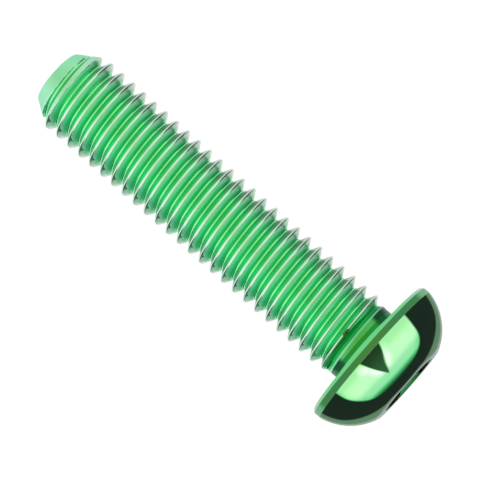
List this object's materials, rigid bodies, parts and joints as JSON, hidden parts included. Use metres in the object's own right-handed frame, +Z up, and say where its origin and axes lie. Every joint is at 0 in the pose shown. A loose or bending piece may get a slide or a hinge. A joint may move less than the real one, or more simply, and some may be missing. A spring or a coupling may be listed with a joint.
{
  "type": "button head screw",
  "caption": "Domed button head screw with a hexagon socket, a right-handed metric thread along its whole shank and a chamfered tip, for clamping parts through a clearance hole.",
  "frame": {"origin": "centre of the bounding box's bottom face, on the surface that the screw lies on", "axes": "+X along the screw's longest extent, towards its head, +Z up; the screw's own axis rises by 5.3 degrees from the tip to the head, as it lies at rest"},
  "size_m": [0.0402, 0.014, 0.0139],
  "materials": {
    "anodised_titanium": "polished titanium, anodised to a mint green interference colour, paler on the worn crests of the thread"
  },
  "bodies": {
    "root": {"button_head_screw": "anodised_titanium"}
  },
  "joints": []
}
